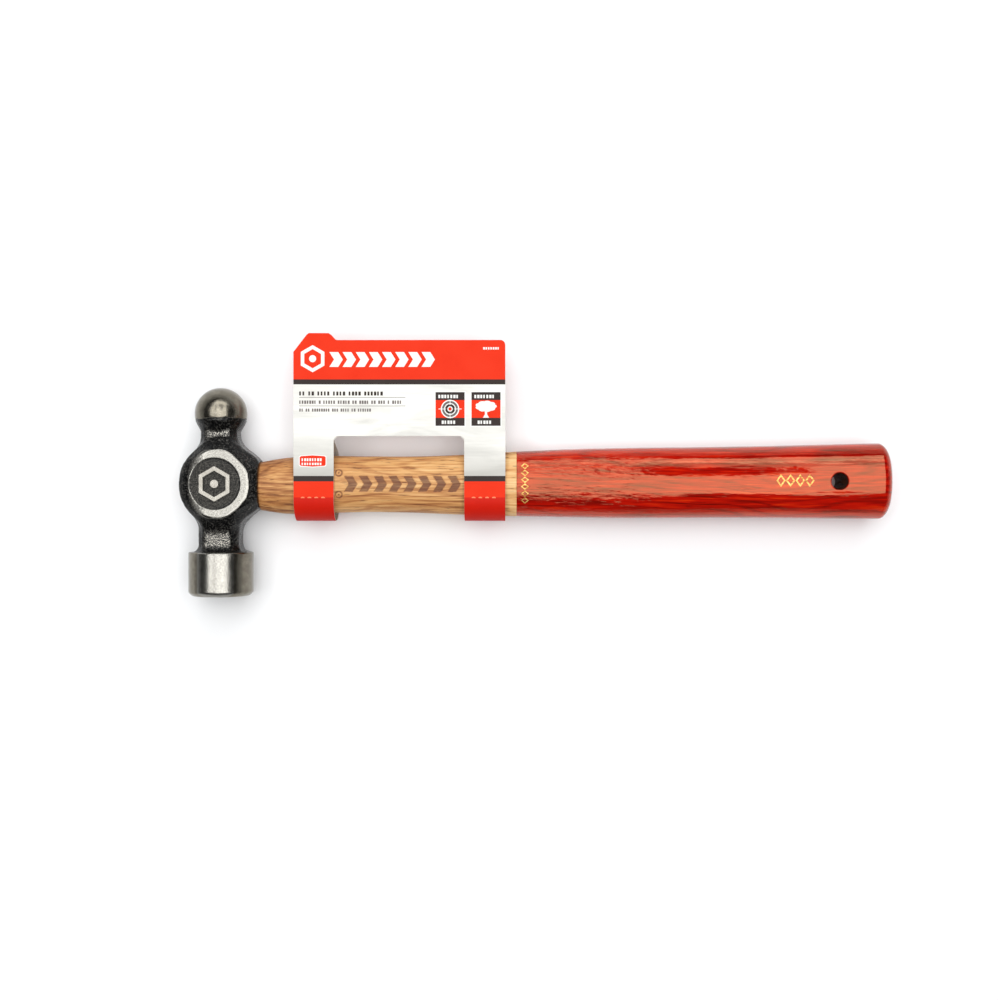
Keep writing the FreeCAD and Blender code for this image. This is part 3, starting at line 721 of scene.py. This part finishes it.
def butt_rings(count):
    """The rounded butt, fuller along the handle's thickness than along its height."""
    angles = even_angles(count)
    high, thick, drift = handle_sizes(BUTT_X)
    rings = []
    for degrees in list(range(6, 90, 7)) + [89.5]:
        swing = math.radians(degrees)
        shrink = 1 - math.cos(swing)
        y, z = oval_point(angles, high - 9.5 * shrink, thick - 6.6 * shrink)
        x = BUTT_X + (BUTT_END - BUTT_X) * math.sin(swing)
        rings.append(np.stack([np.full(count, x), y + drift, z], axis=1))
    return rings


def make_grip():
    """The lacquered grip, with the hang hole through the butt."""
    count = 176
    places = np.concatenate([[LACQUER_X], np.arange(LACQUER_X + 0.35, BUTT_X, 0.62), [BUTT_X]])
    rings = [*handle_rings(places, count), *butt_rings(count)]
    points = np.concatenate(rings)
    x = points[:, 0]
    coat = 0.06 * smooth_step(x, LACQUER_X, LACQUER_X + 0.5)
    calm = 1 - smooth_step(x, BUTT_X - 1, BUTT_END)
    relief = handle_grain(points) * 0.9 * calm - 0.03 + coat
    held = np.column_stack([np.minimum(x, BUTT_X), points[:, 1:]])
    points = points + outward(held) * relief[:, None]
    work = bmesh.new()
    vertices = [work.verts.new(point) for point in points]
    for face in ring_faces(len(rings), count):
        centre = np.mean([points[i] for i in face], axis=0)
        if math.hypot(centre[0] - HOLE_X, centre[1] - HOLE_Y) > HOLE_RADIUS + HOLE_ROUND:
            work.faces.new([vertices[i] for i in face[::-1]])
    last = len(vertices) - count
    work.faces.new(vertices[last:][::-1])
    work.faces.new(vertices[:count])
    bmesh.ops.delete(work, geom=[v for v in work.verts if not v.link_faces], context="VERTS")
    open_hang_hole(work)
    work.verts.index_update()
    # Faces on the hole's wall take the near-black wood, as painted shade inside the hole.
    kinds = [inside_hole(face) for face in work.faces]
    points, faces = taken_from(work)
    make_piece("handle_grip", points, faces, [lacquer, hole_wall_painted_shade], kinds=kinds)


def inside_hole(face):
    """Whether a face is on the bare wall of the hang hole."""
    centre = face.calc_center_median()
    away = math.hypot(centre.x - HOLE_X, centre.y - HOLE_Y)
    return away < HOLE_RADIUS + 0.1 and abs(centre.z) < handle_sizes(centre.x)[1] - 0.7


def open_hang_hole(work):
    """Rounds the rims of the hang hole and joins them through the butt."""
    middle = Vector((HOLE_X, HOLE_Y, 0))

    def swung(vertex, radius, z):
        away = Vector((vertex.co.x - middle.x, vertex.co.y - middle.y, 0)).normalized() * radius
        vertex.co = Vector((middle.x + away.x, middle.y + away.y, z))

    loops = []
    for side in (1, -1):
        edges = [edge for edge in work.edges if edge.is_boundary and edge.verts[0].co.z * side > 0
                 and (edge.verts[0].co - middle).xy.length < HOLE_RADIUS + 3]
        rim = {vertex for edge in edges for vertex in edge.verts}
        for vertex in rim:
            swung(vertex, HOLE_RADIUS + HOLE_ROUND, vertex.co.z)
        steps = [(HOLE_ROUND * (1 - math.sin(a)), HOLE_ROUND * (1 - math.cos(a)))
                 for a in np.radians((30, 60, 90))] + [(0.0, 1.6), (0.0, 4.0), (0.0, None)]
        before = 0.0
        for gap, depth in steps:
            grown = bmesh.ops.extrude_edge_only(work, edges=edges)["geom"]
            edges = [item for item in grown if isinstance(item, bmesh.types.BMEdge)]
            for vertex in {vertex for edge in edges for vertex in edge.verts}:
                z = 0.0 if depth is None else vertex.co.z - (depth - before) * side
                swung(vertex, HOLE_RADIUS + gap, z)
            before = depth or before
        loops.append(edges)
    bmesh.ops.bridge_loops(work, edges=loops[0] + loops[1])
    bmesh.ops.recalc_face_normals(work, faces=work.faces)


def on_handle(x, y, lift):
    """A point on top of the handle."""
    high, thick, drift = handle_sizes(x)
    end, side, reach = oval_sizes(high, thick)
    away = np.abs(y - drift)
    limit = reach + end * reach / np.hypot(reach, side - thick)
    z = np.where(away < limit, np.sqrt(np.maximum(side ** 2 - away ** 2, 0)) - side + thick,
                 np.sqrt(np.maximum(end ** 2 - (away - reach) ** 2, 0)))
    return np.stack([x, y, z + lift], axis=-1)


def strip_faces(start, steps):
    """Quads along a strip of paired points."""
    return [(low, low + 2, low + 3, low + 1) for low in range(start, start + 2 * steps, 2)]


def make_foil_marks(name, centres, high, wide, line):
    """Small gold diamonds pressed on the lacquer."""
    points, faces = [], []
    steps, lift = 6, 0.075
    outer = np.array([(0, high / 2), (wide / 2, 0), (0, -high / 2), (-wide / 2, 0)])
    inner = outer * (1 - line * 2.2 / min(high, wide))
    for centre, side in itertools.product(centres, range(4)):
        faces += [face[::-1] for face in strip_faces(len(points), steps)]
        for step, ring in itertools.product(range(steps + 1), (outer, inner)):
            share = step / steps
            spot = ring[side] * (1 - share) + ring[(side + 1) % 4] * share
            points.append(on_handle(centre[0] + spot[0], centre[1] + spot[1], lift))
    make_piece(name, points, faces, [foil])


# ------------------------ display card

CREASE_Y, BOARD, CARD_Z = -6.5, 0.45, 12.05
CARD_LEFT, CARD_RIGHT, CARD_TOP, CARD_ROUND = 37.2, 138.6, 68.9, 2.4
WINDOW_LEFT, WINDOW_RIGHT, WINDOW_TOP, WINDOW_ROUND = 56.4, 118.9, 22.9, 1.9
TAB_LEFT, TAB_RIGHT, TAB_TOP, TAB_FOOT_LEFT, TAB_FOOT_RIGHT = 44.2, 54.2, 72.2, 63.1, 58.0
JOIN_Y = 21.0
RED_LOW, BAND_LOW = 50.0, 47.6


def band_path():
    """The board's outer face below the crease: distance along it, place and outward direction."""
    arcs = ((-6.5, 0.7, 11.35, 90, 180), (-5.1, 0.7, 12.75, 180, 270), (5.3, 0.3, 12.35, 270, 343.7))
    places, outs = [(CREASE_Y, CARD_Z)], [(0.0, 1.0)]
    for centre_y, centre_z, radius, first, last in arcs:
        for degrees in np.linspace(first, last, 25):
            out = math.cos(math.radians(degrees)), math.sin(math.radians(degrees))
            places.append((centre_y + radius * out[0], centre_z + radius * out[1]))
            outs.append(out)
    places.append((JOIN_Y + 0.34, CARD_Z - 2 * BOARD))
    outs.append(outs[-1])
    places, outs = np.array(places), np.array(outs)
    along = np.concatenate([[0], np.cumsum(np.hypot(*np.diff(places, axis=0).T))])
    return along, places, outs


BAND_ALONG, BAND_PLACES, BAND_OUTS = band_path()
BAND_END = CREASE_Y - BAND_ALONG[-1]


def folded(flat, lift):
    """Carries points of the flat board, x and height, to the folded card. Lift is outwards."""
    x, height = np.asarray(flat, float).T
    past = np.maximum(CREASE_Y - height, 0)
    y = np.where(past > 0, np.interp(past, BAND_ALONG, BAND_PLACES[:, 0]), height)
    z = np.where(past > 0, np.interp(past, BAND_ALONG, BAND_PLACES[:, 1]), CARD_Z)
    out_y = np.where(past > 0, np.interp(past, BAND_ALONG, BAND_OUTS[:, 0]), 0)
    out_z = np.where(past > 0, np.interp(past, BAND_ALONG, BAND_OUTS[:, 1]), 1)
    # The panel isn't quite flat: it bows a little towards its top corners.
    loose = smooth_step(height, 14, 60)
    bow = loose * (0.55 * ((x - 88) / 50) ** 2 + 0.22 * np.sin(x / 13) - 0.1)
    return np.stack([x, y + out_y * lift, z + out_z * lift + bow], axis=1)


def corner_arc(centre, radius, first, last, count=8):
    angles = np.radians(np.linspace(first, last, count))
    return [(centre[0] + radius * math.cos(a), centre[1] + radius * math.sin(a)) for a in angles]


def panel_outline(low, inset=0.0):
    """The card above a height: top corners, tab, and the window if it reaches that far."""
    left, right, top = CARD_LEFT + inset, CARD_RIGHT - inset, CARD_TOP - inset
    outline = [(right, low)]
    outline += corner_arc((right - CARD_ROUND, top - CARD_ROUND), CARD_ROUND, 0, 90)
    outline += [(TAB_FOOT_RIGHT, top), (TAB_FOOT_RIGHT - 0.7, top + 0.25), (TAB_RIGHT + 0.9, TAB_TOP - 0.7),
                (TAB_RIGHT - 0.3, TAB_TOP - inset), (TAB_LEFT + 0.4, TAB_TOP - inset),
                (TAB_LEFT - 0.6, TAB_TOP - 0.75), (left, TAB_FOOT_LEFT), (left, low)]
    return outline


def card_outline():
    """The whole front board, laid flat: panel, and the two long legs that make the bands."""
    outline = panel_outline(BAND_END)
    window = [(WINDOW_LEFT, BAND_END)]
    window += corner_arc((WINDOW_LEFT + WINDOW_ROUND, WINDOW_TOP - WINDOW_ROUND), WINDOW_ROUND, 180, 90)
    window += corner_arc((WINDOW_RIGHT - WINDOW_ROUND, WINDOW_TOP - WINDOW_ROUND), WINDOW_ROUND, 90, 0)
    window += [(WINDOW_RIGHT, BAND_END)]
    return outline + window


def back_outline():
    """The board glued behind the panel."""
    outline = panel_outline(JOIN_Y, 0.12)
    window = [(WINDOW_LEFT, JOIN_Y), (WINDOW_LEFT + WINDOW_ROUND, WINDOW_TOP + 0.15),
              (WINDOW_RIGHT - WINDOW_ROUND, WINDOW_TOP + 0.15), (WINDOW_RIGHT, JOIN_Y)]
    return outline + window


FOLD_LINES = sorted({CREASE_Y - step for step in np.arange(0, BAND_ALONG[-1], 0.8)}
                    | set(np.arange(10.0, 72.0, 3.0)))
SIDE_LINES = list(np.arange(CARD_LEFT + 3, CARD_RIGHT, 4.0))


def flat_shape(outlines):
    """Outlines laid flat, cut into faces small enough to fold: points, faces, and their outline."""
    work = bmesh.new()
    group = work.faces.layers.int.new("group")
    for index, outline in enumerate(outlines):
        face = work.faces.new([work.verts.new((x, y, 0)) for x, y in outline])
        face[group] = index
    bmesh.ops.recalc_face_normals(work, faces=work.faces)
    for face in work.faces:
        if face.normal.z < 0:
            face.normal_flip()
    bmesh.ops.triangulate(work, faces=[face for face in work.faces if len(face.verts) > 4])
    for axis, lines in ((1, FOLD_LINES), (0, SIDE_LINES)):
        normal = (0, 1, 0) if axis else (1, 0, 0)
        for line in lines:
            place = (0, line, 0) if axis else (line, 0, 0)
            bmesh.ops.bisect_plane(work, geom=work.verts[:] + work.edges[:] + work.faces[:],
                                   plane_co=place, plane_no=normal, dist=1e-5)
    work.verts.index_update()
    groups = [face[group] for face in work.faces]
    points, faces = taken_from(work)
    return points[:, :2], faces, groups


def make_board_piece(name, outline, lift):
    """One layer of board, with its thickness."""
    points, faces, _ = flat_shape([outline])
    piece = make_piece(name, folded(points, lift), faces, [board], "card", smooth=False)
    solid = piece.modifiers.new("thickness", "SOLIDIFY")
    solid.thickness, solid.offset = BOARD * MM, -1
    bpy.context.view_layer.update()
    made = piece.evaluated_get(bpy.context.evaluated_depsgraph_get())
    shaped = bpy.data.meshes.new_from_object(made)
    piece.modifiers.clear()
    piece.data = shaped
    return piece


def box_shape(left, right, bottom, top):
    return [(left, bottom), (right, bottom), (right, top), (left, top)]


def ring_shapes(centre, outer, inner, sides):
    """A flat ring, as one four-sided shape for each of its sides."""
    out, within = polygon(outer, sides) + centre, polygon(inner, sides) + centre
    return [(out[i - 1], out[i], within[i], within[i - 1]) for i in (*range(1, sides), 0)]


def round_shape(centre, radius, count=28):
    return polygon(radius, count) + centre


def inked(ink, layer, *shapes):
    """Shapes to print in one ink on one layer."""
    return [(ink, shape, layer) for shape in shapes]


def greeked(left, right, bottom, top, letters, seed):
    """A line of type too small to read: one plain block for each letter, in words."""
    chance = np.random.default_rng(seed)
    pitch = (right - left) / sum(word + 0.8 for word in letters)
    shapes, x = [], left
    for word in letters:
        for _ in range(word):
            wide = chance.choice((0.52, 0.64, 0.74))
            shapes.append(box_shape(x, x + pitch * wide, bottom, bottom + (top - bottom) * 0.8))
            x += pitch
        x += pitch * 0.8
    return shapes


def chevrons(left, bottom, top, pitch, wide, lean, count):
    """A row of chevrons that point along the handle."""
    middle, tip = (bottom + top) / 2, lean * (top - bottom) / 2
    shapes = []
    for index in range(count):
        x = left + index * pitch
        shapes.append([(x, bottom), (x + wide, bottom), (x + wide + tip, middle), (x + tip, middle)])
        shapes.append([(x + tip, middle), (x + wide + tip, middle), (x + wide, top), (x, top)])
    return shapes


def badge(left, right, bottom, top, picture):
    """A small square badge: dark bands above and below a red field with a white picture."""
    band, middle = (top - bottom) * 0.235, (left + right) / 2
    upper, lower = top - band, bottom + band
    shapes = inked(white_ink, 1, box_shape(left - 0.5, right + 0.5, bottom - 0.5, top + 0.5))
    shapes += inked(red_ink, 2, box_shape(left, right, lower, upper))
    shapes += inked(dark_ink, 2, box_shape(left, right, upper, top), box_shape(left, right, bottom, lower))
    for low, half, seed in ((upper + 0.9, 5.6, 31), (bottom + 0.9, 4.0, 32)):
        word = (int(half * 1.4),)
        shapes += inked(white_ink, 3, *greeked(middle - half, middle + half, low, low + 2.0, word, seed))
    return shapes + picture((middle, (upper + lower) / 2), (upper - lower) / 2)


def target_picture(centre, size):
    """A target: rings and cross hairs."""
    shapes = []
    wide = size * 0.92
    for outer, inner, ink in ((1.12, 0.98, white_ink), (0.98, 0.72, grey_ink), (0.72, 0.60, white_ink)):
        shapes += inked(ink, 3, *ring_shapes(centre, outer * wide, inner * wide, 36))
    shapes += inked(dark_ink, 3, round_shape(centre, 0.60 * wide))
    shapes += inked(white_ink, 4, *ring_shapes(centre, 0.30 * size, 0.19 * size, 24))
    shapes += inked(red_ink, 4, round_shape(centre, 0.19 * size))
    x, y = centre
    thick, near = 0.16, 0.45 * size
    for way in (1, -1):
        left, right = sorted((x + way * near, x + way * 1.3 * size))
        shapes += inked(white_ink, 5, box_shape(left, right, y - thick, y + thick))
    for way in (1, -1):
        low, high = sorted((y + way * near, y + way * 1.05 * size))
        shapes += inked(white_ink, 5, box_shape(x - thick, x + thick, low, high))
    return shapes


def tree_picture(centre, size):
    """A round-crowned tree."""
    x, y = centre
    angles = np.linspace(0, 2 * math.pi, 72, endpoint=False)
    reach = size * (0.62 + 0.07 * np.abs(np.cos(4.5 * angles)))
    crown = np.column_stack([x + 1.75 * reach * np.cos(angles),
                             y + 0.3 * size + 0.92 * reach * np.sin(angles)])
    trunk = [(x + across * size, y + up * size) for across, up in (
        (-0.34, -0.98), (0.34, -0.98), (0.12, -0.6), (0.14, -0.1), (-0.14, -0.1), (-0.12, -0.6))]
    return inked(white_ink, 3, crown) + inked(white_ink, 4, trunk)


def head_bands(inset):
    """The red head of the card and the dark band under it, drawn in a little from its edge."""
    shapes = inked(red_ink, 1, panel_outline(RED_LOW, inset))
    return shapes + inked(dark_ink, 1, box_shape(CARD_LEFT + inset, CARD_RIGHT - inset, BAND_LOW, RED_LOW))


def front_print():
    """Everything printed on the front of the card, and a darker red as painted shade on the wrap below the
    crease: ink, shape laid flat, and layer.
    """
    inset, icon, margin = 0.03, (46.4, 59.9), 40.0
    shapes = head_bands(inset)
    shapes += inked(white_ink, 2, *ring_shapes(icon, 6.5, 4.6, 6))
    shapes += inked(white_ink, 2, round_shape(icon, 1.7))
    shapes += inked(white_ink, 2, *chevrons(
        left=54.4, bottom=56.0, top=63.1, pitch=6.3, wide=4.2, lean=0.62, count=8))
    shapes += inked(white_ink, 2, *greeked(128.0, 136.9, 64.3, 65.7, (7,), 33))
    for ink, right, low, high, words, seed in (
            (dark_ink, 81.6, 42.3, 44.7, (2, 2, 4, 4, 4, 6), 34),
            (grey_ink, 90.2, 38.3, 40.3, (7, 1, 5, 5, 2, 4, 2, 3, 1, 4), 35),
            (grey_ink, 75.4, 34.6, 36.4, (2, 2, 8, 3, 4, 2, 6), 36)):
        shapes += inked(ink, 1, *greeked(margin, right, low, high, words, seed))
    for rule in (41.4, 37.3):
        shapes += inked(grey_ink, 1, box_shape(margin, 90.8, rule - 0.11, rule + 0.11))
    shapes += badge(105.2, 119.1, 27.8, 43.9, target_picture)
    shapes += badge(122.4, 136.3, 27.8, 43.9, tree_picture)
    # A plaque with two lines of type on the left leg.
    middle, centre = 46.4, 10.95
    half = [(-6.6, -2.05), (-6.0, -2.65), (0.0, -3.1), (6.0, -2.65), (6.6, -2.05)]
    whole = half + [(-across, -up) for across, up in half]
    plaque = [(middle + across, centre + up) for across, up in whole]
    field = [(middle + across * 0.94, centre + up * 0.87) for across, up in whole]
    shapes += inked(white_ink, 1, plaque) + inked(red_ink, 2, field)
    for low, high, seed in ((10.9, 12.6, 37), (9.0, 10.4, 38)):
        shapes += inked(white_ink, 3, *greeked(41.1, 52.0, low, high, (8,), seed))
    # Each leg has a dark stripe, red down to the crease, and below that the darker red as painted shade on
    # the wrap round the handle.
    for left, right in ((CARD_LEFT, WINDOW_LEFT), (WINDOW_RIGHT, CARD_RIGHT)):
        for ink, low, high in ((dark_ink, 1.2, 3.8), (red_ink, CREASE_Y, 1.2),
                               (red_ink_painted_shade, CREASE_Y - 46.0, CREASE_Y)):
            shapes += inked(ink, 1, box_shape(left + inset, right - inset, low, high))
    return shapes


def back_print():
    """The back of the card: the same bands of ink, lines of small type and a block of stripes."""
    shapes = head_bands(0.15)
    for index, length in enumerate((46, 50, 38, 49, 44)):
        low = 42.5 - index * 3.4
        words = (4, 7, 3, 6, 5, 8)
        shapes += inked(grey_ink, 1, *greeked(44.0, 44.0 + length, low, low + 1.6, words, 40 + index))
    chance = np.random.default_rng(50)
    x = 106.0
    while x < 130.0:
        wide = float(chance.choice((0.35, 0.35, 0.7, 1.05)))
        shapes += inked(dark_ink, 1, box_shape(x, x + wide, 30.5, 43.5))
        x += wide + float(chance.choice((0.35, 0.7)))
    return shapes


def make_print(name, shapes, base_lift, step):
    """Inks as thin skins, each layer a little further out than the one below it."""
    inks = list(dict.fromkeys(ink for ink, _, _ in shapes))
    points, faces, kinds = [], [], []
    for layer in sorted({layer for _, _, layer in shapes}):
        here = [(ink, shape) for ink, shape, on in shapes if on == layer]
        flat, cut, groups = flat_shape([shape for _, shape in here])
        start = len(points)
        points += folded(flat, base_lift + step * layer).tolist()
        faces += [[start + i for i in (face if step > 0 else face[::-1])] for face in cut]
        kinds += [inks.index(here[group][0]) for group in groups]
    make_piece(name, points, faces, inks, "card", kinds=kinds, smooth=False)


def make_slits(name):
    """Small half-cut tongues along the crease of each leg."""
    points, faces = [], []
    angles = np.linspace(0, math.pi, 9)
    across, up, lift = 0.95 * np.cos(angles), np.sin(angles), 0.03
    for first, index in itertools.product((41.6, 123.4), range(4)):
        x = first + index * 3.25 + across
        faces += strip_faces(len(points), len(angles) - 1)
        tips = folded(np.column_stack([x, CREASE_Y - 0.25 + 0.62 * up]), lift + 0.22 * up)
        feet = folded(np.column_stack([x, np.full(len(x), CREASE_Y - 0.3)]), lift)
        points += np.stack([tips, feet], axis=1).reshape(-1, 3).tolist()
    make_piece(name, points, faces, [slit_ink], "card", smooth=False)


# ------------------------ stage

CAMERA_X, CAMERA_Y, CAMERA_HIGH, CAMERA_ANGLE = 136.05, -7.71, 629.5, 42.37


def make_camera():
    """A camera that looks straight down on the middle of the hammer."""
    camera = bpy.data.cameras.new("camera")
    camera.sensor_width = 36.0
    camera.lens = camera.sensor_width / 2 / math.tan(math.radians(CAMERA_ANGLE / 2))
    camera.clip_start, camera.clip_end = 0.01, 50.0
    stand = bpy.data.objects.new("camera", camera)
    stand.location = to_frame((CAMERA_X, CAMERA_Y, CAMERA_HIGH))
    link(stand)
    bpy.context.scene.camera = stand


def make_floor():
    """A pale studio floor that curves up into a low wall all round."""
    paint = Paint("studio_white", Roughness=0.6, Specular_IOR_Level=0.2)
    paint.set("Base Color", paint.ramp(paint.noise(400.0, 2.0), [(0.3, (243, 244, 245)),
                                                                 (0.7, (246, 247, 248))]))
    flat, curve, wall, count = 2800.0, 500.0, 1100.0, 96
    profile = [(0.0, 0.0), (300.0, 0.0), (900.0, 0.0), (flat, 0.0)]
    profile += [(flat + curve * math.sin(a), curve * (1 - math.cos(a)))
                for a in np.radians(np.arange(10, 91, 10))] + [(flat + curve, wall)]
    angles = np.arange(count) * 2 * math.pi / count
    low = (cad_box[0][2] - ORIGIN[2]) / MM
    points = [(CAMERA_X + r * math.cos(a), CAMERA_Y + r * math.sin(a), z + low)
              for r, z in profile[1:] for a in angles]
    faces = [tuple(face)[::-1] for face in ring_faces(len(profile) - 1, count)]
    faces.append(tuple(range(count)))
    floor = make_object("floor", points, faces, [paint.material])


def make_light(name, place, size, radiance, aim):
    """A softbox: place and aim in metres from the middle of the picture, size in metres."""
    light = bpy.data.lights.new(name, "AREA")
    light.shape = "RECTANGLE"
    light.size, light.size_y = size
    light.energy = radiance * math.pi * size[0] * size[1]
    lamp = bpy.data.objects.new(name, light)
    middle = Vector(to_frame((CAMERA_X, CAMERA_Y, 0)))
    lamp.location = middle + Vector(place)
    way = Vector(aim) - Vector(place)
    lamp.rotation_euler = way.to_track_quat("-Z", "Y").to_euler()
    link(lamp)


def make_lights():
    """Overhead banks with gaps between them, a dimmer one above, and a strip behind the ball."""
    high, bank = 2.0, 3.45
    for name, left, right, low, top, radiance in (
            ("bank_left", -1.50, -0.64, -0.60, 1.30, bank), ("bank_right", -0.50, 1.30, -0.94, 0.53, bank),
            ("bank_middle", -0.50, 0.22, 0.53, 1.20, bank), ("bank_end", 0.60, 1.30, 0.53, 1.40, bank),
            ("bank_upper", -1.50, 1.30, 1.40, 2.20, 1.8)):
        centre = ((left + right) / 2, (low + top) / 2, high)
        make_light(name, centre, (right - left, top - low), radiance, (*centre[:2], 0.0))
    make_light("strip_back", (0.2, 1.38, 1.16), (1.6, 0.40), 3.2, (0.2, 0.0, 0.0))
    world = bpy.data.worlds.new("studio")
    world.use_nodes = True
    ambient = 0.07
    world.node_tree.nodes["Background"].inputs["Color"].default_value = (ambient, ambient, ambient, 1.0)
    bpy.context.scene.world = world
    bpy.context.scene.view_settings.view_transform = "Standard"


# ------------------------ build

def give(node, material):
    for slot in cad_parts[node].material_slots:
        slot.material = material


make_head()
make_emblem("emblem_upper", 1)
make_emblem("emblem_lower", -1)
give("wooden_wedge", wedge_wood)
give("steel_wedge_ball_side", wedge_steel)
give("steel_wedge_face_side", wedge_steel)
make_waist()
make_tenon()
make_grip()
make_foil_marks("foil_column", [(148.0, 8.6 - 3.3 * i) for i in range(6)], high=3.1, wide=3.8, line=0.55)
make_foil_marks("foil_row", [(270.4 + 4.6 * i, 1.6) for i in range(4)], high=6.0, wide=4.4, line=0.75)
front = make_board_piece("card_front", card_outline(), 0.0)
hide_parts("display_card")
make_board_piece("card_back", back_outline(), -BOARD)
make_print("card_front_print", front_print(), 0.0, 0.02)
make_print("card_back_print", back_print(), -2 * BOARD, -0.02)
make_slits("card_slits")
make_camera()
make_floor()
make_lights()
